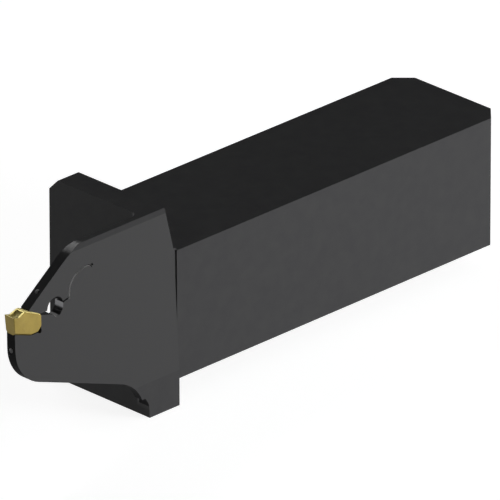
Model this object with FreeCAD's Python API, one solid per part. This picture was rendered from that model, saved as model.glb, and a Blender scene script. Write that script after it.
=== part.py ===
import FreeCAD, Part
import math
import os

# Face grooving tool holder: one steel body whose springy upper jaw grips one carbide insert.
# Frame: origin on the seat, at the middle of the shank's rear end. +X runs to the cutting edge,
# +Y to the side that carries the blade, +Z up. Lengths in millimetres, angles in degrees.

# Shank
SHANK_HEIGHT = 25.0
SHANK_WIDTH = 25.0
SHANK_LENGTH = 82.2
SHANK_END_CHAMFER = 3.0

# Head: the upright plate in front of the shank
HEAD_THICKNESS = 7.4
HEAD_OFFSET = 0.55        # how far the head stands out past the shank on the blade's side
HEAD_RISE = 8.7           # above the shank's top
HEAD_DROP = 4.9           # below the seat
HEAD_LEAN = 2.3           # forward run of the rear face, from the shank's top to the head's top
HEAD_FAR_CHAMFER = 2.2
HEAD_REAR_FILLET = 0.6
HEAD_UNDER_FILLET = 0.5
TOP_EDGE_CHAMFER = 0.7    # along the near edge of the top
REAR_EDGE_CHAMFER = 0.45  # along the near edge of the leaning face

# Blade: a sector of a ring, curved about an axis that lies level with the cutting edge
BLADE_REACH = 32.4        # from the head's front face to the cutting edge
BLADE_THICKNESS = 2.05
BLADE_NEAR_RADIUS = 310.0
BLADE_INSET = 0.3         # from the shank's side to the blade's near face, at cutting height
BLADE_ROOT_FILLET = 1.5
BELLY_DEPTH = 12.2        # cutting edge down to the sharp corner of belly and front face
BELLY_ANGLE = 19.4
BELLY_CORNER_RADIUS = 8.0
JAW_SLOPE_ANGLE = 37.9
JAW_CORNER_RADIUS = 8.0
ROOT_UPPER_RADIUS = 8.6
ROOT_LOWER_RADIUS = 3.9
ROOT_LEDGE_DROP = 0.8     # below the seat
ROOT_LEDGE_STEP = 1.15    # how far the upper root curve stays in front of the head
ROOT_LOWER_DROP = 3.5     # seat down to where the lower root curve meets the head

# Insert, measured back from and down from its cutting edge
INSERT_CUT_WIDTH = 2.5
INSERT_BODY_WIDTH = 2.25
INSERT_LENGTH = 6.7
INSERT_FRONT_HEIGHT = 3.5
INSERT_FRONT_RELIEF = 6.0
INSERT_SIDE_RELIEF = 2.0
INSERT_HEAD_LENGTH = 2.6  # the part that widens to the groove's width
INSERT_HUMP_BACK = 3.3    # cutting edge back to the crest of the chip wall
INSERT_HUMP_LENGTH = 0.5
INSERT_HUMP_RISE = 0.3
INSERT_GROOVE_BACK = 1.2
INSERT_GROOVE_DROP = 0.3
INSERT_CLAMP_ANGLE = 24.8
INSERT_SEAT_ANGLE = 19.3
INSERT_SEAT_FLAT = 1.35   # width of the level strip between the bottom's two flanks
INSERT_REAR_CHAMFER = 0.6
INSERT_HEEL_BACK = 4.28   # cutting edge back to where the sloping bottom turns level
INSERT_HEEL_FLAT = 1.22
INSERT_EDGE_CHAMFER = 0.2
INSERT_CORNER_RADIUS = 0.2
SCOOP_BACK = 1.4          # the chip-forming hollow in the top, behind the cutting edge
SCOOP_RADIUS = 1.3
SCOOP_DEPTH = 0.55
SCOOP_WIDTH = 1.5

# Pocket, slot, key hole and spring slit
FRONT_SETBACK = 0.4       # cutting edge back to the lower jaw's front face
SEAT_LIP = 0.15           # height of the two lips that hold the insert sideways
LIP_CLEARANCE = 0.02
STOP_CLEARANCE = 0.02
JAW_NOSE_BACK = 3.9
JAW_NOSE_LAND = 0.27
STOP_TOP_DROP = 1.57
STOP_NOSE_LENGTH = 2.8
STOP_NOSE_SLOPE = 17.0
STOP_NOSE_UNDERCUT = 45.0
SLOT_LEAD = 0.3           # how far the slot's roof reaches in front of the rear stop
RELIEF_RADIUS = 0.45
KEY_HOLE_RADIUS = 1.95
KEY_HOLE_BACK = 10.25
KEY_HOLE_DROP = 1.25
KEY_LOBE_RADIUS = 1.0
KEY_LOBE_BACK = 10.8
KEY_LOBE_DROP = 2.15
SLIT_WIDTH = 0.3
SLIT_RADIUS = 4.0
SLIT_CENTRE_BACK = 17.6
SLIT_CENTRE_RISE = 0.2
SLIT_START_ANGLE = -10.0
SLIT_END_ANGLE = 113.0
SLIT_END_RADIUS = 0.35

# Coolant way: threaded inlet at the rear, one main bore, a riser in the head, a jet in each jaw
INLET_MINOR_RADIUS = 4.28 # wall left by the tap drill of a G 1/8 thread
INLET_DEPTH = 12.0
INLET_MOUTH_CHAMFER = 0.6
MAIN_BORE_RADIUS = 2.0
RISER_RADIUS = 1.0
RISER_WALL = 1.1          # steel between the riser and the blade's near face
RISER_BACK = 1.8          # behind the head's front face
JET_RADIUS = 0.45
UPPER_WAY_REAR_DEPTH = 3.7
UPPER_WAY_BEND_DEPTH = 1.4
UPPER_WAY_BEND_BACK = 20.5
UPPER_JET_BACK = 6.83
UPPER_JET_DEPTH = 0.8     # the jet's last stretch, bored square to the jaw's slope
LOWER_JET_DROP = 6.7
LOWER_JET_ROOT_DROP = 11.5
PLUG_RADIUS = 1.25
PLUG_LENGTH = 2.5
PLUG_CLEARANCE = 0.02
PLUG_SINK = 0.3
PLUG_HEX_WIDTH = 1.3
PLUG_HEX_DEPTH = 1.2

# Places worked out from the sizes above
HEAD_REAR = SHANK_LENGTH
HEAD_FRONT = HEAD_REAR + HEAD_THICKNESS
TIP_X = HEAD_FRONT + BLADE_REACH
CUT_Z = SHANK_HEIGHT
HEAD_TOP = SHANK_HEIGHT + HEAD_RISE
HEAD_BOTTOM = -HEAD_DROP
HEAD_NEAR = SHANK_WIDTH / 2 + HEAD_OFFSET
HEAD_FAR = HEAD_NEAR - SHANK_WIDTH     # the head is as wide as the shank
BLADE_NEAR = SHANK_WIDTH / 2 - BLADE_INSET
BLADE_FAR = BLADE_NEAR - BLADE_THICKNESS
BLADE_MID = (BLADE_NEAR + BLADE_FAR) / 2
RING_AXIS_Y = BLADE_NEAR + BLADE_NEAR_RADIUS
JAW_FRONT = TIP_X - FRONT_SETBACK
STOP_X = TIP_X - INSERT_LENGTH
OVERSHOOT = 6.0           # how far cutting shapes run past what they cut
SHORT_OVERSHOOT = 2.0     # the same, where little room is left behind
SAME_PLACE = 0.01         # nearer than this, two places count as one when edges are picked
PLUGS = ("riser_plug", "upper_way_plug")


def point(x, z, y=0.0):
    return FreeCAD.Vector(x, y, z)


def from_edge(back, rise):
    """A point of the side view, measured from the cutting edge."""
    return point(TIP_X - back, CUT_Z + rise)


def on_circle(centre, radius, angle):
    turn = math.radians(angle)
    return centre + point(radius * math.cos(turn), radius * math.sin(turn))


def arc(centre, radius, start, end):
    """An arc of the side view between two angles, counted from +X towards +Z."""
    middle = on_circle(centre, radius, (start + end) / 2)
    return Part.Arc(on_circle(centre, radius, start), middle, on_circle(centre, radius, end)).toShape()


def chain(*corners):
    """Straight edges that join the corners in turn."""
    return [Part.makeLine(a, b) for a, b in zip(corners, corners[1:])]


def prism(edges, low_y, high_y):
    """A closed outline of the side view, made solid between two planes across Y."""
    face = Part.Face(Part.Wire(edges))
    face.translate(FreeCAD.Vector(0, low_y, 0))
    return face.extrude(FreeCAD.Vector(0, high_y - low_y, 0))


def outline(*corners):
    return chain(*corners, corners[0])


def rod(start, end, radius):
    """A round solid between two points."""
    span = end - start
    return Part.makeCylinder(radius, span.Length, start, span)


def through_blade(edges):
    """A cutting shape that passes right through the blade."""
    return prism(edges, BLADE_FAR - SHORT_OVERSHOOT, HEAD_NEAR + SHORT_OVERSHOOT)


def shank():
    body = Part.makeBox(SHANK_LENGTH, SHANK_WIDTH, SHANK_HEIGHT, FreeCAD.Vector(0, -SHANK_WIDTH / 2, 0))
    def upright_at_rear(edge):
        return edge.BoundBox.XMax < SAME_PLACE and edge.BoundBox.YLength < SAME_PLACE
    return body.makeChamfer(SHANK_END_CHAMFER, [edge for edge in body.Edges if upright_at_rear(edge)])


def ring_turn(profile):
    """Turns an outline of the top view about the ring's axis, through the head's whole height."""
    reach = HEAD_RISE + SHANK_HEIGHT + HEAD_DROP + OVERSHOOT
    half_angle = math.degrees(math.asin(reach / BLADE_NEAR_RADIUS))
    axis_point = FreeCAD.Vector(0, RING_AXIS_Y, CUT_Z)
    axis = FreeCAD.Vector(1, 0, 0)
    face = Part.Face(Part.Wire(profile))
    face.rotate(axis_point, axis, -half_angle)
    return face.revolve(axis_point, axis, 2 * half_angle)


def ring_sector():
    """The curved slab that the blade is part of, with the root fillet on its far side."""
    def at(x, y):
        return FreeCAD.Vector(x, y, CUT_Z)
    end = TIP_X + OVERSHOOT
    root = HEAD_FRONT - HEAD_THICKNESS / 2
    foot = BLADE_FAR - BLADE_ROOT_FILLET
    centre = at(HEAD_FRONT + BLADE_ROOT_FILLET, foot)
    middle = centre + FreeCAD.Vector(-1, 1, 0) * (BLADE_ROOT_FILLET / math.sqrt(2))
    fillet = Part.Arc(at(HEAD_FRONT + BLADE_ROOT_FILLET, BLADE_FAR), middle, at(HEAD_FRONT, foot)).toShape()
    profile = chain(at(root, foot), at(root, BLADE_NEAR), at(end, BLADE_NEAR), at(end, BLADE_FAR),
                    at(HEAD_FRONT + BLADE_ROOT_FILLET, BLADE_FAR))
    profile.append(fillet)
    profile += chain(at(HEAD_FRONT, foot), at(root, foot))
    return ring_turn(profile)


def near_hollow(start):
    """What the ring's inner wall leaves free, from a place along the shank forwards."""
    inside = BLADE_NEAR + OVERSHOOT
    end = TIP_X + OVERSHOOT
    corners = [(start, BLADE_NEAR), (end, BLADE_NEAR), (end, inside), (start, inside), (start, BLADE_NEAR)]
    return ring_turn(chain(*[FreeCAD.Vector(x, y, CUT_Z) for x, y in corners]))


def belly_tangents():
    """Where the rounded front corner of the lower jaw meets the front face and the belly."""
    corner = point(JAW_FRONT, CUT_Z - BELLY_DEPTH)
    run = BELLY_CORNER_RADIUS / math.tan(math.radians((90 + BELLY_ANGLE) / 2))
    slope = math.radians(BELLY_ANGLE)
    return corner + point(0, run), corner - point(run * math.cos(slope), run * math.sin(slope))


def upper_root_centre():
    """Centre of the curve that touches the belly line and an upright line in front of the head."""
    corner = point(JAW_FRONT, CUT_Z - BELLY_DEPTH)
    slope = math.radians(BELLY_ANGLE)
    x = HEAD_FRONT + ROOT_LEDGE_STEP + ROOT_UPPER_RADIUS
    belly_z = corner.z - (corner.x - x) * math.tan(slope)
    return point(x, belly_z - ROOT_UPPER_RADIUS / math.cos(slope))


def blade_outline():
    front_top, belly_front = belly_tangents()
    corner_centre = front_top - point(BELLY_CORNER_RADIUS, 0)
    upper = upper_root_centre()
    upper_top = on_circle(upper, ROOT_UPPER_RADIUS, 90 + BELLY_ANGLE)
    upper_end = 180 - math.degrees(math.asin((-ROOT_LEDGE_DROP - upper.z) / ROOT_UPPER_RADIUS))
    lower = point(HEAD_FRONT + ROOT_LOWER_RADIUS, -ROOT_LOWER_DROP)
    lower_start = 180 - math.degrees(math.asin((ROOT_LOWER_DROP - ROOT_LEDGE_DROP) / ROOT_LOWER_RADIUS))
    drop = (JAW_FRONT - jaw_corner().x) * math.tan(math.radians(JAW_SLOPE_ANGLE))
    slope_foot = point(JAW_FRONT, HEAD_TOP - drop)
    rear = HEAD_REAR + HEAD_THICKNESS / 2
    edges = chain(point(rear, HEAD_TOP), jaw_corner(), slope_foot, front_top)
    edges.append(arc(corner_centre, BELLY_CORNER_RADIUS, 0, BELLY_ANGLE - 90))
    edges += chain(belly_front, upper_top)
    edges.append(arc(upper, ROOT_UPPER_RADIUS, 90 + BELLY_ANGLE, upper_end))
    edges += chain(on_circle(upper, ROOT_UPPER_RADIUS, upper_end),
                   on_circle(lower, ROOT_LOWER_RADIUS, lower_start))
    edges.append(arc(lower, ROOT_LOWER_RADIUS, lower_start, 180))
    edges += chain(point(HEAD_FRONT, -ROOT_LOWER_DROP), point(rear, -ROOT_LOWER_DROP), point(rear, HEAD_TOP))
    return edges


def jaw_nose():
    """Foot of the land at the upper jaw's tip, on the insert's clamping slope."""
    return on_clamp_slope(JAW_NOSE_BACK)


def jaw_corner():
    """The sharp corner between the head's top and the jaw's front slope, before it is rounded."""
    nose = jaw_nose() + point(0, JAW_NOSE_LAND)
    run = (HEAD_TOP - nose.z) / math.tan(math.radians(JAW_SLOPE_ANGLE))
    return point(nose.x - run, HEAD_TOP)


def head_block():
    """The head plate, with its leaning rear face and its chamfered far edge."""
    lean = HEAD_LEAN
    edges = outline(point(HEAD_REAR, HEAD_BOTTOM), point(HEAD_FRONT, HEAD_BOTTOM), point(HEAD_FRONT, HEAD_TOP),
                    point(HEAD_REAR + lean, HEAD_TOP), point(HEAD_REAR, SHANK_HEIGHT))
    block = prism(edges, HEAD_FAR, HEAD_NEAR)
    def far_at_top(edge):
        return edge.BoundBox.ZMin > HEAD_TOP - SAME_PLACE and edge.BoundBox.YMax < HEAD_FAR + SAME_PLACE
    return block.makeChamfer(HEAD_FAR_CHAMFER, [edge for edge in block.Edges if far_at_top(edge)])


def fillet_bar(corner, radius, one, other, low_y, high_y):
    """A concave fillet along Y between two flat faces. one and other point along them from the corner."""
    middle = (one + other).normalize()
    half = one.getAngle(other) / 2
    run = radius / math.tan(half)
    start = corner + one * run
    end = corner + other * run
    curve = Part.Arc(start, corner + middle * (radius / math.sin(half) - radius), end).toShape()
    return prism([curve] + chain(end, end - one * radius, corner - one * radius, start), low_y, high_y)


def foot_fillets():
    """The fillets between the head's rear face and the shank, over and under it."""
    rearwards = point(-1, 0)
    upwards = point(HEAD_LEAN, HEAD_RISE).normalize()
    over = fillet_bar(point(HEAD_REAR, SHANK_HEIGHT), HEAD_REAR_FILLET, rearwards, upwards, HEAD_FAR, HEAD_NEAR)
    under = fillet_bar(point(HEAD_REAR, 0), HEAD_UNDER_FILLET, rearwards, point(0, -1),
                       HEAD_FAR, SHANK_WIDTH / 2)
    return over.cut(near_hollow(HEAD_REAR - OVERSHOOT)), under


def head_and_blade():
    blade = prism(blade_outline(), BLADE_FAR - BLADE_ROOT_FILLET - OVERSHOOT, HEAD_NEAR).common(ring_sector())
    whole = head_block().cut(near_hollow(HEAD_REAR)).fuse(blade).removeSplitter()
    lid = Part.makeBox(TIP_X, 4 * SHANK_WIDTH, HEAD_RISE + OVERSHOOT,
                       FreeCAD.Vector(HEAD_REAR - OVERSHOOT, -2 * SHANK_WIDTH, SHANK_HEIGHT))
    upper = break_near_edges(whole.common(lid))
    return upper, whole.cut(lid)


def break_near_edges(upper):
    """Chamfers the near edges of the leaning rear face and of the top."""
    def on_near_face(edge):
        return edge.BoundBox.YMin > BLADE_NEAR - SAME_PLACE
    def along_rear(edge):
        return edge.BoundBox.XMax < HEAD_REAR + HEAD_LEAN + SAME_PLACE and edge.BoundBox.ZLength > HEAD_RISE / 2
    def along_top(edge):
        return edge.BoundBox.ZMin > HEAD_TOP - SAME_PLACE and edge.BoundBox.XLength > BLADE_REACH / 4
    rear = [edge for edge in upper.Edges if on_near_face(edge) and along_rear(edge)]
    broken = upper.makeChamfer(REAR_EDGE_CHAMFER, rear)
    top = [edge for edge in broken.Edges if on_near_face(edge) and along_top(edge)]
    return broken.makeChamfer(TOP_EDGE_CHAMFER, top)


def jaw_rounding():
    """What the rounded corner takes off between the head's top and the jaw's slope."""
    corner = jaw_corner()
    slope = math.radians(JAW_SLOPE_ANGLE)
    run = JAW_CORNER_RADIUS * math.tan(slope / 2)
    start = corner - point(run, 0)
    end = corner + point(run * math.cos(slope), -run * math.sin(slope))
    centre = start - point(0, JAW_CORNER_RADIUS)
    edges = [arc(centre, JAW_CORNER_RADIUS, 90, 90 - JAW_SLOPE_ANGLE)]
    over = point(0, OVERSHOOT)
    edges += chain(end, end + over, start + over, start)
    return through_blade(edges)


def insert_profile():
    """Corners of the insert's side view, from the cutting edge over the top to the rear and the bottom."""
    relief = INSERT_FRONT_HEIGHT * math.tan(math.radians(INSERT_FRONT_RELIEF))
    rear_top = on_clamp_slope(INSERT_LENGTH - INSERT_REAR_CHAMFER)
    heel_rear = heel() - point(INSERT_HEEL_FLAT, 0)
    return [from_edge(0, 0), from_edge(INSERT_GROOVE_BACK, -INSERT_GROOVE_DROP),
            from_edge(INSERT_HUMP_BACK - INSERT_HUMP_LENGTH, INSERT_HUMP_RISE),
            from_edge(INSERT_HUMP_BACK, INSERT_HUMP_RISE), rear_top,
            point(STOP_X, rear_top.z - INSERT_REAR_CHAMFER), point(STOP_X, heel_rear.z + heel_rear.x - STOP_X),
            heel_rear, heel(), from_edge(relief, -INSERT_FRONT_HEIGHT)]


def on_seat(back):
    """A point on the sloping seat line, a given way back from the cutting edge."""
    relief = INSERT_FRONT_HEIGHT * math.tan(math.radians(INSERT_FRONT_RELIEF))
    return from_edge(back, -INSERT_FRONT_HEIGHT - (back - relief) * math.tan(math.radians(INSERT_SEAT_ANGLE)))


def on_clamp_slope(back):
    """A point on the slope under the upper jaw, a given way back from the cutting edge."""
    drop = (back - INSERT_HUMP_BACK) * math.tan(math.radians(INSERT_CLAMP_ANGLE))
    return from_edge(back, INSERT_HUMP_RISE - drop)


def heel():
    """Where the insert's sloping bottom turns level."""
    return on_seat(INSERT_HEEL_BACK)


def trough(start, along, flat, height):
    """A trough from a point: a level floor of the given width between two 45 degree flanks."""
    half = flat / 2
    normal = FreeCAD.Vector(-along.z, 0, along.x).normalize() * height
    across = FreeCAD.Vector(0, 1, 0)
    middle = start + across * BLADE_MID
    corners = [middle - across * half, middle + across * half,
               middle + across * (half + height) + normal, middle - across * (half + height) + normal]
    return Part.Face(Part.Wire(outline(*corners))).extrude(along)


def seat_trough(flat, height):
    """The seat's form: a sloping trough that turns level at the heel."""
    rear = on_seat(INSERT_LENGTH + OVERSHOOT)
    sloping = trough(rear, on_seat(-OVERSHOOT) - rear, flat, height)
    level_start = point(rear.x, heel().z)
    return sloping.common(trough(level_start, point(TIP_X + OVERSHOOT - rear.x, 0), flat, height))


def pocket():
    """The space for the insert, the slot behind it and the key hole, up to the seat's lips."""
    stop = STOP_X - STOP_CLEARANCE
    nose = jaw_nose()
    front = TIP_X + OVERSHOOT
    lip = heel().z + SEAT_LIP
    lift = SEAT_LIP / math.cos(math.radians(INSERT_SEAT_ANGLE))
    turn_back = INSERT_HEEL_BACK + (lift - SEAT_LIP) / math.tan(math.radians(INSERT_SEAT_ANGLE))
    slot_roof = on_clamp_slope(INSERT_LENGTH)
    edges = outline(point(stop, lip), point(TIP_X - turn_back, lip), on_seat(TIP_X - front) + point(0, lift),
                    point(front, nose.z + OVERSHOOT), nose + point(0, OVERSHOOT), nose,
                    slot_roof, point(stop, slot_roof.z), stop_top())
    space = through_blade(edges)
    relief = through_blade(disc(relief_centre(), RELIEF_RADIUS))
    seat = seat_trough(INSERT_SEAT_FLAT + 2 * LIP_CLEARANCE, SEAT_LIP + SHORT_OVERSHOOT).common(seat_reach())
    return space.fuse([relief, seat, slot_and_key_hole()])


def relief_centre():
    """Centre of the round relief in the corner between the seat's floor and the rear stop."""
    inset = RELIEF_RADIUS / math.sqrt(2)
    return point(STOP_X - STOP_CLEARANCE + inset, heel().z + inset)


def seat_reach():
    """Limits the seat's trough to the stretch in front of the rear stop."""
    stop = STOP_X - STOP_CLEARANCE
    front = TIP_X + OVERSHOOT
    low = heel().z - OVERSHOOT
    return through_blade(outline(point(stop, low), point(front, low), point(front, CUT_Z), point(stop, CUT_Z)))


def stop_top():
    """Top corner of the rear stop."""
    return point(STOP_X - STOP_CLEARANCE, CUT_Z - STOP_TOP_DROP)


def behind_stop_top(back):
    """A point on the stop's sloping top, a given way behind its corner."""
    return stop_top() - point(back, back * math.tan(math.radians(STOP_NOSE_SLOPE)))


def disc(centre, radius):
    """The rim of a round hole of the side view."""
    return [Part.Circle(centre, FreeCAD.Vector(0, 1, 0), radius).toShape()]


def slot_and_key_hole():
    """The slot over the rear stop, and the two-lobed hole that the spreading key goes into."""
    centre = from_edge(KEY_HOLE_BACK, -KEY_HOLE_DROP)
    lobe = from_edge(KEY_LOBE_BACK, -KEY_LOBE_DROP)
    roof = on_clamp_slope(INSERT_LENGTH).z
    ahead = behind_stop_top(-SLOT_LEAD)
    nose = behind_stop_top(STOP_NOSE_LENGTH)
    slot = through_blade(outline(ahead, point(ahead.x, roof), point(nose.x, roof), nose))
    under = nose - on_circle(point(0, 0), OVERSHOOT, STOP_NOSE_UNDERCUT)
    stop_nose = through_blade(outline(nose, stop_top(), stop_top() - point(0, OVERSHOOT), under))
    round_hole = through_blade(disc(centre, KEY_HOLE_RADIUS)).cut(stop_nose)
    return slot.fuse([round_hole, through_blade(disc(lobe, KEY_LOBE_RADIUS)).cut(stop_nose)])


def spring_slit():
    """The narrow curved slit that lets the upper jaw bend."""
    centre = from_edge(SLIT_CENTRE_BACK, SLIT_CENTRE_RISE)
    half = SLIT_WIDTH / 2
    inner = SLIT_RADIUS - half
    outer = SLIT_RADIUS + half
    first, last = SLIT_START_ANGLE, SLIT_END_ANGLE
    edges = [arc(centre, outer, first, last)]
    edges += chain(on_circle(centre, outer, last), on_circle(centre, inner, last))
    edges.append(arc(centre, inner, last, first))
    edges += chain(on_circle(centre, inner, first), on_circle(centre, outer, first))
    start = on_circle(centre, SLIT_RADIUS, first)
    key = from_edge(KEY_HOLE_BACK, -KEY_HOLE_DROP)
    along = (key - start).normalize() * half
    side = FreeCAD.Vector(-along.z, 0, along.x)
    corner = start - along
    link = outline(corner + side, corner - side, key - side, key + side)
    end = on_circle(centre, SLIT_RADIUS, last)
    return through_blade(edges).fuse([through_blade(link), through_blade(disc(end, SLIT_END_RADIUS))])


def riser_point(z):
    return FreeCAD.Vector(HEAD_FRONT - RISER_BACK, BLADE_NEAR - RISER_WALL - RISER_RADIUS, z)


def upper_way_ends():
    """Rear mouth and front bend of the way that feeds the upper jet."""
    mouth = FreeCAD.Vector(HEAD_REAR, riser_point(0).y, HEAD_TOP - UPPER_WAY_REAR_DEPTH)
    return mouth, FreeCAD.Vector(TIP_X - UPPER_WAY_BEND_BACK, BLADE_MID, HEAD_TOP - UPPER_WAY_BEND_DEPTH)


def upper_jet():
    """The upper jet's mouth on the jaw's slope, its inner end, and the direction out of the mouth."""
    turn = math.radians(JAW_SLOPE_ANGLE)
    fall = (TIP_X - UPPER_JET_BACK - jaw_corner().x) * math.tan(turn)
    mouth = FreeCAD.Vector(TIP_X - UPPER_JET_BACK, BLADE_MID, HEAD_TOP - fall)
    out = FreeCAD.Vector(math.sin(turn), 0, math.cos(turn))
    return mouth, mouth - out * UPPER_JET_DEPTH, out


def coolant_ways():
    """Everything that the coolant flows through, and the two threaded mouths that plugs close."""
    inlet = FreeCAD.Vector(0, 0, SHANK_HEIGHT / 2)
    cross = riser_point(SHANK_HEIGHT / 2)
    mouth = Part.makeCone(INLET_MINOR_RADIUS + INLET_MOUTH_CHAMFER, INLET_MINOR_RADIUS, INLET_MOUTH_CHAMFER,
                          inlet, FreeCAD.Vector(1, 0, 0))
    tapped = rod(inlet, inlet + FreeCAD.Vector(INLET_DEPTH, 0, 0), INLET_MINOR_RADIUS)
    main = rod(inlet, cross, MAIN_BORE_RADIUS)
    way_start, bend = upper_way_ends()
    riser = rod(riser_point(HEAD_BOTTOM), riser_point(way_start.z), RISER_RADIUS)
    upper_mouth, upper_end, out = upper_jet()
    upper_run = (upper_end - bend).normalize()
    lower_root = FreeCAD.Vector(cross.x, BLADE_MID, CUT_Z - LOWER_JET_ROOT_DROP)
    lower_mouth = FreeCAD.Vector(JAW_FRONT, BLADE_MID, CUT_Z - LOWER_JET_DROP)
    lower_out = lower_mouth + (lower_mouth - lower_root).normalize() * SHORT_OVERSHOOT
    ways = [tapped, main, riser, rod(way_start, bend, JET_RADIUS), rod(lower_root, lower_out, JET_RADIUS),
            rod(bend - upper_run * JET_RADIUS, upper_end + upper_run * JET_RADIUS, JET_RADIUS),
            rod(upper_end, upper_mouth + out * SHORT_OVERSHOOT, JET_RADIUS)]
    ways += [rod(plug_seat(name), plug_seat(name) + plug_axis(name) * OVERSHOOT, PLUG_RADIUS) for name in PLUGS]
    return mouth.fuse(ways)


def plug_axis(name):
    """Direction in which a plug comes out."""
    return FreeCAD.Vector(0, 0, -1) if name == "riser_plug" else FreeCAD.Vector(-1, 0, 0)


def plug_seat(name):
    """Centre of the shoulder that a plug is screwed against."""
    if name == "riser_plug":
        return riser_point(HEAD_BOTTOM + PLUG_SINK + PLUG_LENGTH)
    mouth = upper_way_ends()[0]
    lean = HEAD_LEAN * (mouth.z + PLUG_RADIUS - SHANK_HEIGHT) / HEAD_RISE
    return mouth + FreeCAD.Vector(lean + PLUG_LENGTH, 0, 0)


def plug(name):
    """A short grub screw with a hexagon socket, which closes the end of a drilled way."""
    seat = plug_seat(name)
    axis = plug_axis(name)
    body = rod(seat, seat + axis * PLUG_LENGTH, PLUG_RADIUS - PLUG_CLEARANCE)
    hexagon = Part.Face(Part.makePolygon([hex_corner(seat, axis, turn) for turn in range(0, 361, 60)]))
    socket = hexagon.extrude(axis * PLUG_HEX_DEPTH)
    socket.translate(axis * (PLUG_LENGTH - PLUG_HEX_DEPTH))
    return body.cut(socket)


def hex_corner(seat, axis, turn):
    angle = math.radians(turn)
    side = FreeCAD.Vector(0, 1, 0)
    up = axis.cross(side)
    reach = PLUG_HEX_WIDTH / math.sqrt(3)
    return seat + side * (reach * math.cos(angle)) + up * (reach * math.sin(angle))


def holder_body():
    upper, lower = head_and_blade()
    body = shank().fuse([lower, upper, *foot_fillets()])
    body = body.cut(jaw_rounding())
    body = body.cut(pocket())
    body = body.cut(spring_slit())
    body = body.cut(coolant_ways())
    return body.removeSplitter()


def insert_plan():
    """The insert's top view, drawn along the sloping front face: rounded front corners, narrower body."""
    half = INSERT_CUT_WIDTH / 2
    body = INSERT_BODY_WIDTH / 2
    radius = INSERT_CORNER_RADIUS
    shift = radius * (1 - math.sqrt(0.5))
    rear = INSERT_LENGTH + OVERSHOOT
    def at(back, y):
        return FreeCAD.Vector(TIP_X - back, BLADE_MID + y, CUT_Z)
    def front_corner(side):
        middle = at(shift, side * (half - shift))
        return Part.Arc(at(radius, side * half), middle, at(0, side * (half - radius))).toShape()
    edges = chain(at(0, radius - half), at(0, half - radius))
    edges.append(front_corner(1))
    edges += chain(at(radius, half), at(INSERT_HEAD_LENGTH, body), at(rear, body))
    edges += chain(at(rear, body), at(rear, -body), at(INSERT_HEAD_LENGTH, -body), at(radius, -half))
    edges.append(front_corner(-1))
    face = Part.Face(Part.Wire(edges))
    face.translate(FreeCAD.Vector(0, 0, OVERSHOOT))
    solid = face.extrude(FreeCAD.Vector(0, 0, -2 * INSERT_LENGTH - OVERSHOOT))
    solid.rotate(from_edge(0, 0), FreeCAD.Vector(0, 1, 0), INSERT_FRONT_RELIEF)
    return solid


def insert_section():
    """The insert's front view: its sides draw in downwards, for side clearance in the groove."""
    half = INSERT_CUT_WIDTH / 2
    draw = math.tan(math.radians(INSERT_SIDE_RELIEF))
    def at(side, z):
        return FreeCAD.Vector(STOP_X - OVERSHOOT, BLADE_MID + side * (half + z * draw), CUT_Z + z)
    low = -INSERT_LENGTH
    face = Part.Face(Part.Wire(outline(at(-1, OVERSHOOT), at(1, OVERSHOOT), at(1, low), at(-1, low))))
    return face.extrude(FreeCAD.Vector(INSERT_LENGTH + 2 * OVERSHOOT, 0, 0))


def is_slope_side(edge):
    """A long edge on either side of the clamping slope."""
    box = edge.BoundBox
    run = INSERT_LENGTH - INSERT_REAR_CHAMFER - INSERT_HUMP_BACK
    drop = run * math.tan(math.radians(INSERT_CLAMP_ANGLE))
    return abs(box.XLength - run) < SAME_PLACE and abs(box.ZLength - drop) < SAME_PLACE


def cutting_insert():
    blank = prism(outline(*insert_profile()), BLADE_MID - INSERT_CUT_WIDTH, BLADE_MID + INSERT_CUT_WIDTH)
    blank = blank.common(insert_plan()).common(insert_section())
    blank = blank.common(seat_trough(INSERT_SEAT_FLAT, INSERT_LENGTH))
    blank = blank.makeChamfer(INSERT_EDGE_CHAMFER, [edge for edge in blank.Edges if is_slope_side(edge)])
    centre = from_edge(SCOOP_BACK, SCOOP_RADIUS - SCOOP_DEPTH) + FreeCAD.Vector(0, BLADE_MID, 0)
    half_scoop = FreeCAD.Vector(0, SCOOP_WIDTH / 2, 0)
    return blank.cut(rod(centre - half_scoop, centre + half_scoop, SCOOP_RADIUS))


def write(name, shape):
    solids = shape.Solids
    if len(solids) != 1:
        raise ValueError(f"{name} has {len(solids)} solids")
    solids[0].exportStep(os.path.join("parts", f"{name}.step"))


os.makedirs("parts", exist_ok=True)
write("holder_body", holder_body())
write("cutting_insert", cutting_insert())
for plug_name in PLUGS:
    write(plug_name, plug(plug_name))
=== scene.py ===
import math

import bpy
from mathutils import Matrix, Vector


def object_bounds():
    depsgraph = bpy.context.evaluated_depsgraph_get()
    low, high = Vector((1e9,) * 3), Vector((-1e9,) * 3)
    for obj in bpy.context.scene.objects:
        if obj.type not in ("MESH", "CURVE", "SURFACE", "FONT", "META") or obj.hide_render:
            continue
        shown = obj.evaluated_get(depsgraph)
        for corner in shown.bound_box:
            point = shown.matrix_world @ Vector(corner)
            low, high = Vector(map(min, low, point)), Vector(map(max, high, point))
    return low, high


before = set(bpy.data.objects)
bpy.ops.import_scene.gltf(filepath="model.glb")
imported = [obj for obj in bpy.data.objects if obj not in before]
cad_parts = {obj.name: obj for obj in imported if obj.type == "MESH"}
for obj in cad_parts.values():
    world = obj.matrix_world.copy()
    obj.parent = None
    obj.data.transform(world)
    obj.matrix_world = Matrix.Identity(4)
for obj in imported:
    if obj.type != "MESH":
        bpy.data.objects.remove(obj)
CAD_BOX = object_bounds()

# Looks of a face grooving tool holder: blackened steel body, gold-coated insert, black grub screws.
# Lengths in metres, angles in degrees, the same frame as the CAD.

# Axes of the frame: along the shank to the cutting edge, to the side that carries the blade, and up
X_AXIS = (1, 0, 0)
Y_AXIS = (0, 1, 0)
Z_AXIS = (0, 0, 1)

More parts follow.
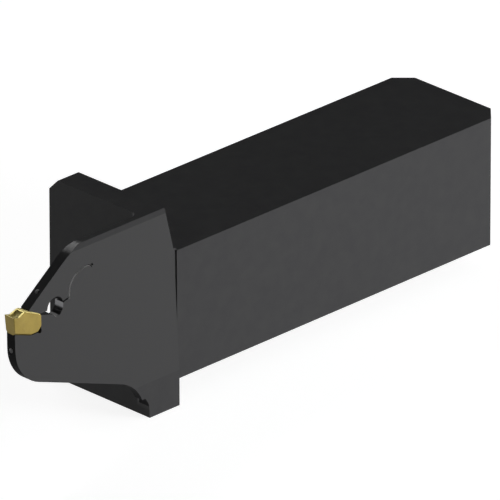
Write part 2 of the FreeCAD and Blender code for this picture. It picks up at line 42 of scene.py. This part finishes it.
# Places that several looks share
EDGE_HEIGHT = 0.025        # of the cutting edge over the seat
BLADE_MIDDLE = 0.011175    # of the insert's width, along Y

# Camera, with its sensor's width and its lens in millimetres
CAMERA_AZIMUTH = 135.0
CAMERA_ELEVATION = 24.947
CAMERA_ROLL = -0.06
CAMERA_DISTANCE = 2.6469
CAMERA_AIM = (0.05628, 0.00472, 0.01399)
SENSOR_WIDTH = 36.0
LENS = 1074.9
CLIP_START = 0.1
CLIP_END = 100.0

# Floor and surroundings
FLOOR_SIZE = 12.0
FLOOR_COLOR = (0.45, 0.45, 0.45)
FLOOR_GLOW = 0.88          # what the floor shows of itself, so that it stays white outside the shadow
BACKDROP_COLOR = (1, 1, 1)
BACKDROP_STRENGTH = 0.93
CEILING_STRENGTH = 0.035
BACKDROP_TOP = 0.04        # height on the unit sphere where the pale backdrop ends
CEILING_START = 0.20

# Lamps: direction from the part, the way the longer side runs, distance, length, width and power
LAMPS = {
    "key": {"toward": (-0.52, 0.853, 0.015), "along": X_AXIS, "distance": 0.6,
            "size": (0.26, 0.26), "watts": 5.75},
    "back": {"toward": (-0.285, -0.641, 0.705), "along": (0.611, 0, 0.281), "distance": 1.4,
             "size": (0.8, 0.12), "watts": 2.65},
    "edge": {"toward": (-0.64, 0.42, 0.64), "along": X_AXIS, "distance": 1.0,
             "size": (0.45, 0.45), "watts": 0.95},
    "front": {"toward": (0.80, 0.10, 0.59), "along": Y_AXIS, "distance": 1.0,
              "size": (0.2, 0.2), "watts": 0.35},
}

# Noise, in all materials
NOISE_DETAIL = 4.0
NOISE_LOW = 0.3            # nearly all noise values lie between these two
NOISE_HIGH = 0.7

# Sockets of a mix node that blends colours
MIX_FACTOR = 0
MIX_FIRST = 6
MIX_SECOND = 7
MIX_RESULT = 2

# Blackened steel
STEEL_COLOR = (0.046, 0.046, 0.048)
STEEL_WORN_COLOR = (0.051, 0.051, 0.052)
STEEL_ROUGHNESS = (0.19, 0.23)
STEEL_SPECULAR = 0.09
CLOUD_SCALE = 420.0
GRIND_SCALE = 900.0
GRIND_STRETCH = (0.04, 1, 1)
GRIND_DEPTH = 0.00002

# Turned hollow of the blade's near side, with painted light: a little paler than the ground faces, for
# the light its upward tilt catches: centre (Y, Z) and radius
HOLLOW = ((0.3222, EDGE_HEIGHT), 0.310)
HOLLOW_TOLERANCE = 0.00004
HOLLOW_FROM = (0.0822, 0.0120, 0.00204)    # corners of the box that the hollow lies in
HOLLOW_TO = (0.1220, 0.0131, 0.0337)
# Painted light: the hollow is painted paler than the steel, standing in for the light its tilted face
# catches
HOLLOW_PAINTED_LIGHT_COLOR = (0.0545, 0.0545, 0.0555)

# Walls of the key hole, the spring slit and its end hole: centre (X, Z) and radius
KEY_HOLE = ((0.11175, 0.02375), 0.00195)
SLIT = ((0.1044, 0.0252), 0.0040)
SLIT_HALF_WIDTH = 0.00015
SLIT_END = ((0.10284, 0.02888), 0.00035)
WALL_TOLERANCE = 0.00003
WALL_LIMIT = 0.4           # a wall's normal has less than this along the hole
BARE_HIGHLIGHT_RISE = (0.25, 0.35)   # middle and half range of the upward part of the normal of a bare wall with a painted highlight
OVERHANG_RISE = -0.10      # an overhanging wall's normal rises less than this
# Bare metal, kept only on walls that face where a highlight falls: partly a painted highlight
BARE_HIGHLIGHT_COLOR = (0.15, 0.15, 0.155)
# Painted light: the slit's walls, which little light reaches, are painted pale
SLIT_PAINTED_LIGHT_COLOR = (0.52, 0.52, 0.52)

# Coolant jets: a point a little inside each mouth, and the way the jet runs
JETS = (
    ((0.11492, BLADE_MIDDLE, 0.02726), (0.614, 0, 0.789)),
    ((0.1212, BLADE_MIDDLE, 0.01824), (0.990, 0, 0.141)),
)
JET_REACH = 0.00065        # round each point
# Painted highlight: the walls just inside the jets' mouths are painted pale, for light marks there
JET_PAINTED_HIGHLIGHT_COLOR = (0.75, 0.75, 0.75)

# Milled front, belly and root of the lower jaw, rougher than the ground faces and darker with painted
# shade
MILLED_SHADE_FROM = (0.0897, 0.0095, -0.0050)    # corners of the box that these faces lie in
MILLED_SHADE_TO = (0.1220, 0.0131, 0.0217)
MILLED_SHADE_RISE = 0.2          # faces with the painted shade have a normal that rises less than this
# Painted shade: faces that look forwards or down are painted near black, besides being rougher
PAINTED_SHADE_COLOR = (0.018, 0.018, 0.019)
MILLED_ROUGHNESS = 0.85

# Thread of the coolant inlet, G 1/8, which lies in the wall that the tap drill left
THREAD_MIDDLE = (0.0063, 0.0, 0.0125)
THREAD_REACH = 0.0075      # round the thread's middle
THREAD_PITCH = 0.000907
THREAD_DEPTH = 0.00058
HALF_RIDGE = 0.5           # of a pitch, from the thread's root to its crest

# Gold-coloured hard coating of the insert
FLANK_COLOR = (0.285, 0.21, 0.038)
FLANK_DARK_COLOR = (0.235, 0.17, 0.028)
FLANK_SCALE = 700.0
FLANK_METALLIC = 0.5
# Painted light: the rake side, which looks up, is painted paler for the light that falls on it from
# above
RAKE_PAINTED_LIGHT_COLOR = (1.0, 0.86, 0.34)
RAKE_NORMAL = 0.5          # faces whose normal rises more than this belong to the rake side
RAKE_METALLIC = 0.75
RAKE_SMOOTHER = 0.06       # how much less rough the rake side is
SCOOP = (0.1206, BLADE_MIDDLE, 0.0246)
SCOOP_REACH = 0.00095      # round the middle of the hollow behind the cutting edge
SCOOP_METALLIC = 0.25
FACET_SCALE = 1600.0       # of the chip former's small facets, in the hollow only
FACET_DEPTH = 0.00035
INSERT_EDGE = 0.00010      # radius to which light sees the insert's edges rounded
COATING_ROUGHNESS = (0.42, 0.52)
GRAIN_SCALE = 5200.0
GRAIN_DEPTH = 0.000004


def node_tree(name):
    """A new material with an empty node tree and its output node."""
    material = bpy.data.materials.new(name)
    material.use_nodes = True
    tree = material.node_tree
    tree.nodes.clear()
    return material, tree, tree.nodes.new("ShaderNodeOutputMaterial")


def feed(tree, socket, value):
    """Joins an output socket to an input, or sets the input to a plain number, vector or colour."""
    if isinstance(value, bpy.types.NodeSocket):
        tree.links.new(value, socket)
    elif socket.type == "RGBA":
        socket.default_value = (*value, 1)
    else:
        socket.default_value = value


def math_node(tree, operation, *values):
    """A math node with one to three inputs, each an output socket or a number."""
    node = tree.nodes.new("ShaderNodeMath")
    node.operation = operation
    for socket, value in zip(node.inputs, values):
        feed(tree, socket, value)
    return node.outputs[0]


def vector_node(tree, operation, first, second):
    """A vector math node, whose inputs are output sockets or plain vectors."""
    node = tree.nodes.new("ShaderNodeVectorMath")
    node.operation = operation
    feed(tree, node.inputs[0], first)
    feed(tree, node.inputs[1], second)
    return node.outputs["Value" if operation in ("DISTANCE", "DOT_PRODUCT") else "Vector"]


def both(tree, first, second):
    """One where two masks are one."""
    return math_node(tree, "MULTIPLY", first, second)


def either(tree, first, second):
    """One where at least one of two masks is one."""
    return math_node(tree, "MAXIMUM", first, second)


def object_coordinates(tree, stretch=(1, 1, 1)):
    """Object coordinates, stretched along each axis."""
    coordinates = tree.nodes.new("ShaderNodeTexCoord")
    mapping = tree.nodes.new("ShaderNodeMapping")
    feed(tree, mapping.inputs["Scale"], stretch)
    feed(tree, mapping.inputs["Vector"], coordinates.outputs["Object"])
    return mapping.outputs["Vector"]


def split_axes(tree, vector):
    """The parts of a vector along X, Y and Z."""
    split = tree.nodes.new("ShaderNodeSeparateXYZ")
    feed(tree, split.inputs[0], vector)
    return split.outputs


def noise(tree, vector, scale):
    """Fractal noise, most of it between NOISE_LOW and NOISE_HIGH."""
    texture = tree.nodes.new("ShaderNodeTexNoise")
    feed(tree, texture.inputs["Scale"], scale)
    feed(tree, texture.inputs["Detail"], NOISE_DETAIL)
    feed(tree, texture.inputs["Vector"], vector)
    return texture.outputs["Fac"]


def ramp(tree, value, start, end, low, high, interpolation="LINEAR"):
    """Maps the range from start to end onto the range from low to high."""
    node = tree.nodes.new("ShaderNodeMapRange")
    node.interpolation_type = interpolation
    feed(tree, node.inputs["Value"], value)
    feed(tree, node.inputs["From Min"], start)
    feed(tree, node.inputs["From Max"], end)
    feed(tree, node.inputs["To Min"], low)
    feed(tree, node.inputs["To Max"], high)
    return node.outputs["Result"]


def between(tree, factor, low, high):
    """Maps a noise value onto the range from low to high."""
    return ramp(tree, factor, NOISE_LOW, NOISE_HIGH, low, high)


def mix_colors(tree, factor, first, second):
    """Blends one colour towards another, each an output socket or a plain colour."""
    mix = tree.nodes.new("ShaderNodeMix")
    mix.data_type = "RGBA"
    feed(tree, mix.inputs[MIX_FACTOR], factor)
    feed(tree, mix.inputs[MIX_FIRST], first)
    feed(tree, mix.inputs[MIX_SECOND], second)
    return mix.outputs[MIX_RESULT]


def bump(tree, height, distance, base=None, strength=1.0):
    """The normal of a relief, laid over a base normal where there is one."""
    node = tree.nodes.new("ShaderNodeBump")
    feed(tree, node.inputs["Height"], height)
    feed(tree, node.inputs["Distance"], distance)
    feed(tree, node.inputs["Strength"], strength)
    if base is not None:
        feed(tree, node.inputs["Normal"], base)
    return node.outputs["Normal"]


def shade(tree, output, looks):
    """A principled surface, with the inputs that its looks name."""
    surface = tree.nodes.new("ShaderNodeBsdfPrincipled")
    for name, value in looks.items():
        feed(tree, surface.inputs[name], value)
    feed(tree, output.inputs["Surface"], surface.outputs["BSDF"])


def normal_part(tree, axis):
    """How much of a face's normal lies along an axis."""
    normal = tree.nodes.new("ShaderNodeNewGeometry").outputs["True Normal"]
    return vector_node(tree, "DOT_PRODUCT", normal, axis)


def lies_along(tree, axis):
    """One on walls that run along an axis, nought on faces that close it off."""
    return math_node(tree, "LESS_THAN", math_node(tree, "ABSOLUTE", normal_part(tree, axis)), WALL_LIMIT)


def near_point(tree, position, centre, reach):
    """One within reach of a point."""
    return math_node(tree, "LESS_THAN", vector_node(tree, "DISTANCE", position, centre), reach)


def inside_box(tree, position, low, high):
    """One where a point lies between two corners."""
    middle = (Vector(low) + Vector(high)) / 2
    half = (Vector(high) - Vector(low)) / 2
    tests = [math_node(tree, "COMPARE", place, centre, reach)
             for place, centre, reach in zip(split_axes(tree, position), middle, half)]
    return both(tree, both(tree, tests[0], tests[1]), tests[2])


def round_wall(tree, position, hole, half_width=0.0):
    """One where a point lies on the round wall of a hole that runs along Y."""
    (x, z), radius = hole
    flat = vector_node(tree, "MULTIPLY", position, (1, 0, 1))
    distance = vector_node(tree, "DISTANCE", flat, (x, 0, z))
    on_radius = math_node(tree, "COMPARE", distance, radius, half_width + WALL_TOLERANCE)
    return both(tree, on_radius, lies_along(tree, Y_AXIS))


def turned_hollow(tree, position):
    """One on the blade's near side, which is turned about the ring's axis."""
    (y, z), radius = HOLLOW
    flat = vector_node(tree, "MULTIPLY", position, (0, 1, 1))
    distance = vector_node(tree, "DISTANCE", flat, (0, y, z))
    turned = math_node(tree, "COMPARE", distance, radius, HOLLOW_TOLERANCE)
    return both(tree, turned, inside_box(tree, position, HOLLOW_FROM, HOLLOW_TO))


def milled_shade_faces(tree, position):
    """One on the lower jaw's narrow faces that look forwards or down, which get painted shade."""
    narrow = both(tree, inside_box(tree, position, MILLED_SHADE_FROM, MILLED_SHADE_TO), lies_along(tree, Y_AXIS))
    return both(tree, narrow, math_node(tree, "LESS_THAN", normal_part(tree, Z_AXIS), MILLED_SHADE_RISE))


def overhanging_walls(tree, position):
    """One on the key hole's wall where it faces down, which gets painted shade."""
    overhang = math_node(tree, "LESS_THAN", normal_part(tree, Z_AXIS), OVERHANG_RISE)
    return both(tree, round_wall(tree, position, KEY_HOLE), overhang)


def bare_highlight_walls(tree, position):
    """One on the steep walls of the key hole and the slit's end hole: bare metal kept to where a
    highlight falls, so partly a painted highlight.
    """
    walls = either(tree, round_wall(tree, position, KEY_HOLE), round_wall(tree, position, SLIT_END))
    return both(tree, walls, math_node(tree, "COMPARE", normal_part(tree, Z_AXIS), *BARE_HIGHLIGHT_RISE))


def jet_walls(tree, position):
    """One on the walls just inside the mouths of the two coolant jets."""
    walls = [both(tree, near_point(tree, position, point, JET_REACH), lies_along(tree, axis))
             for point, axis in JETS]
    return either(tree, *walls)


def thread_height(tree, position):
    """Height of the inlet's thread: a ridge that climbs once round for each pitch along X."""
    x, y, z = split_axes(tree, vector_node(tree, "SUBTRACT", position, THREAD_MIDDLE))
    turns = math_node(tree, "DIVIDE", math_node(tree, "ARCTAN2", z, y), 2 * math.pi)
    climb = math_node(tree, "ADD", math_node(tree, "DIVIDE", x, THREAD_PITCH), turns)
    ridge = math_node(tree, "DIVIDE", math_node(tree, "PINGPONG", climb, HALF_RIDGE), HALF_RIDGE)
    wall = both(tree, near_point(tree, position, THREAD_MIDDLE, THREAD_REACH), lies_along(tree, X_AXIS))
    return math_node(tree, "MULTIPLY", ridge, wall)


def steel_finish(tree, position):
    """Colour, roughness and normal of fine-ground steel with a black oxide finish."""
    grind = noise(tree, object_coordinates(tree, GRIND_STRETCH), GRIND_SCALE)
    cloud = noise(tree, position, CLOUD_SCALE)
    color = mix_colors(tree, between(tree, cloud, 0, 1), STEEL_COLOR, STEEL_WORN_COLOR)
    return color, between(tree, cloud, *STEEL_ROUGHNESS), bump(tree, grind, GRIND_DEPTH)


def body_material():
    """Blackened steel, with painted shade on its milled faces and overhangs, painted light on the
    hollow, the jets and the slit, bare walls where a highlight falls, and the inlet's thread.
    """
    material, tree, output = node_tree("blackened_steel")
    position = object_coordinates(tree)
    color, roughness, ground = steel_finish(tree, position)
    # Painted shade on the lower jaw's milled faces and the key hole's overhang, which are also made
    # rougher
    milled_and_shade = either(tree, milled_shade_faces(tree, position), overhanging_walls(tree, position))
    # Bare metal only on the walls that catch a highlight, partly a painted highlight
    bare_highlight = bare_highlight_walls(tree, position)
    # Painted light and shade laid over the steel's own colour
    painted_marks = (
        (turned_hollow(tree, position), HOLLOW_PAINTED_LIGHT_COLOR),
        (milled_and_shade, PAINTED_SHADE_COLOR),
        (bare_highlight, BARE_HIGHLIGHT_COLOR),
        (jet_walls(tree, position), JET_PAINTED_HIGHLIGHT_COLOR),
        (round_wall(tree, position, SLIT, SLIT_HALF_WIDTH), SLIT_PAINTED_LIGHT_COLOR),
    )
    for mask, painted_color in painted_marks:
        color = mix_colors(tree, mask, color, painted_color)
    rougher = math_node(tree, "MULTIPLY", milled_and_shade, MILLED_ROUGHNESS)
    shade(tree, output, {
        "Base Color": color,
        "Roughness": math_node(tree, "MAXIMUM", roughness, rougher),
        "Normal": bump(tree, thread_height(tree, position), THREAD_DEPTH, ground),
        "Metallic": bare_highlight,
        "Specular IOR Level": STEEL_SPECULAR,
    })
    return material


def plug_material():
    """Plain blackened steel."""
    material, tree, output = node_tree("black_oxide")
    color, roughness, ground = steel_finish(tree, object_coordinates(tree))
    shade(tree, output, {
        "Base Color": color,
        "Roughness": roughness,
        "Normal": ground,
        "Specular IOR Level": STEEL_SPECULAR,
    })
    return material


def coating_normal(tree, position, grain, scoop):
    """Fine grain over softened edges, with small facets in the hollow behind the cutting edge."""
    edges = tree.nodes.new("ShaderNodeBevel")
    feed(tree, edges.inputs["Radius"], INSERT_EDGE)
    facets = bump(tree, noise(tree, position, FACET_SCALE), FACET_DEPTH, edges.outputs["Normal"], scoop)
    return bump(tree, grain, GRAIN_DEPTH, facets)


def coating_material():
    """Gold-coloured coating on sintered carbide: fine grain, uneven tone, and painted light that makes
    the rake side paler.
    """
    material, tree, output = node_tree("gold_coating")
    position = object_coordinates(tree)
    grain = noise(tree, position, GRAIN_SCALE)
    tone = between(tree, noise(tree, position, FLANK_SCALE), 0, 1)
    flank = mix_colors(tree, tone, FLANK_DARK_COLOR, FLANK_COLOR)
    scoop = near_point(tree, position, SCOOP, SCOOP_REACH)
    rake = either(tree, math_node(tree, "GREATER_THAN", normal_part(tree, Z_AXIS), RAKE_NORMAL), scoop)
    smoother = math_node(tree, "MULTIPLY", rake, RAKE_SMOOTHER)
    metal = math_node(tree, "MULTIPLY_ADD", rake, RAKE_METALLIC - FLANK_METALLIC, FLANK_METALLIC)
    shade(tree, output, {
        # Painted light: faces that look up get the paler rake colour
        "Base Color": mix_colors(tree, rake, flank, RAKE_PAINTED_LIGHT_COLOR),
        "Roughness": math_node(tree, "SUBTRACT", between(tree, grain, *COATING_ROUGHNESS), smoother),
        "Normal": coating_normal(tree, position, grain, scoop),
        "Metallic": math_node(tree, "MULTIPLY_ADD", scoop, SCOOP_METALLIC - RAKE_METALLIC, metal),
    })
    return material


def dress(name, material):
    """Gives a CAD node its material."""
    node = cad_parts[name]
    node.data.materials.clear()
    node.data.materials.append(material)


def shows_background(tree):
    """One for a ray that shows the background, straight, mirrored or through glass, else nought."""
    rays = tree.nodes.new("ShaderNodeLightPath").outputs
    seen = either(tree, rays["Is Camera Ray"], rays["Is Glossy Ray"])
    return either(tree, seen, rays["Is Transmission Ray"])


def make_floor():
    """A pale floor under the part's lowest point."""
    bpy.ops.mesh.primitive_plane_add(size=FLOOR_SIZE, location=(0, 0, CAD_BOX[0].z))
    floor = bpy.context.object
    floor.name = "floor"
    material, tree, output = node_tree("floor_paper")
    diffuse = tree.nodes.new("ShaderNodeBsdfDiffuse")
    feed(tree, diffuse.inputs["Color"], FLOOR_COLOR)
    glow = tree.nodes.new("ShaderNodeEmission")
    feed(tree, glow.inputs["Strength"], math_node(tree, "MULTIPLY", shows_background(tree), FLOOR_GLOW))
    paper = tree.nodes.new("ShaderNodeAddShader")
    feed(tree, paper.inputs[0], diffuse.outputs[0])
    feed(tree, paper.inputs[1], glow.outputs[0])
    feed(tree, output.inputs["Surface"], paper.outputs[0])
    floor.data.materials.append(material)


def make_surroundings():
    """A pale backdrop up to a low height, and a darker ceiling over it."""
    world = bpy.data.worlds.new("studio")
    bpy.context.scene.world = world
    world.use_nodes = True
    tree = world.node_tree
    background = tree.nodes["Background"]
    height = split_axes(tree, tree.nodes.new("ShaderNodeTexCoord").outputs["Generated"])["Z"]
    strength = ramp(tree, height, BACKDROP_TOP, CEILING_START, BACKDROP_STRENGTH, CEILING_STRENGTH,
                    "SMOOTHSTEP")
    feed(tree, background.inputs["Color"], BACKDROP_COLOR)
    feed(tree, background.inputs["Strength"], strength)


def make_lamp(name, spec):
    """A rectangular soft box that shines at the part's middle."""
    lamp = bpy.data.lights.new(name, "AREA")
    lamp.shape = "RECTANGLE"
    lamp.size, lamp.size_y = spec["size"]
    lamp.energy = spec["watts"]
    holder = bpy.data.objects.new(name, lamp)
    toward = Vector(spec["toward"]).normalized()
    across = toward.cross(Vector(spec["along"])).normalized()
    turn = Matrix((across.cross(toward), across, toward)).transposed()
    middle = (CAD_BOX[0] + CAD_BOX[1]) / 2
    holder.matrix_world = Matrix.Translation(middle + toward * spec["distance"]) @ turn.to_4x4()
    holder.visible_camera = False
    bpy.context.collection.objects.link(holder)


def make_camera():
    """A camera far off in front of the blade's side, with a long lens."""
    data = bpy.data.cameras.new("camera")
    data.sensor_width = SENSOR_WIDTH
    data.lens = LENS
    data.clip_start = CLIP_START
    data.clip_end = CLIP_END
    camera = bpy.data.objects.new("camera", data)
    azimuth = math.radians(CAMERA_AZIMUTH)
    elevation = math.radians(CAMERA_ELEVATION)
    back = Vector((math.sin(azimuth) * math.cos(elevation), -math.cos(azimuth) * math.cos(elevation),
                   math.sin(elevation)))
    turn = back.to_track_quat("Z", "Y").to_matrix().to_4x4()
    roll = Matrix.Rotation(math.radians(CAMERA_ROLL), 4, "Z")
    camera.matrix_world = Matrix.Translation(Vector(CAMERA_AIM) + back * CAMERA_DISTANCE) @ turn @ roll
    bpy.context.collection.objects.link(camera)
    bpy.context.scene.camera = camera


bpy.context.scene.view_settings.view_transform = "Standard"
oxide = plug_material()
dress("holder_body", body_material())
dress("riser_plug", oxide)
dress("upper_way_plug", oxide)
dress("cutting_insert", coating_material())
make_floor()
make_surroundings()
for lamp_name, lamp_spec in LAMPS.items():
    make_lamp(lamp_name, lamp_spec)
make_camera()
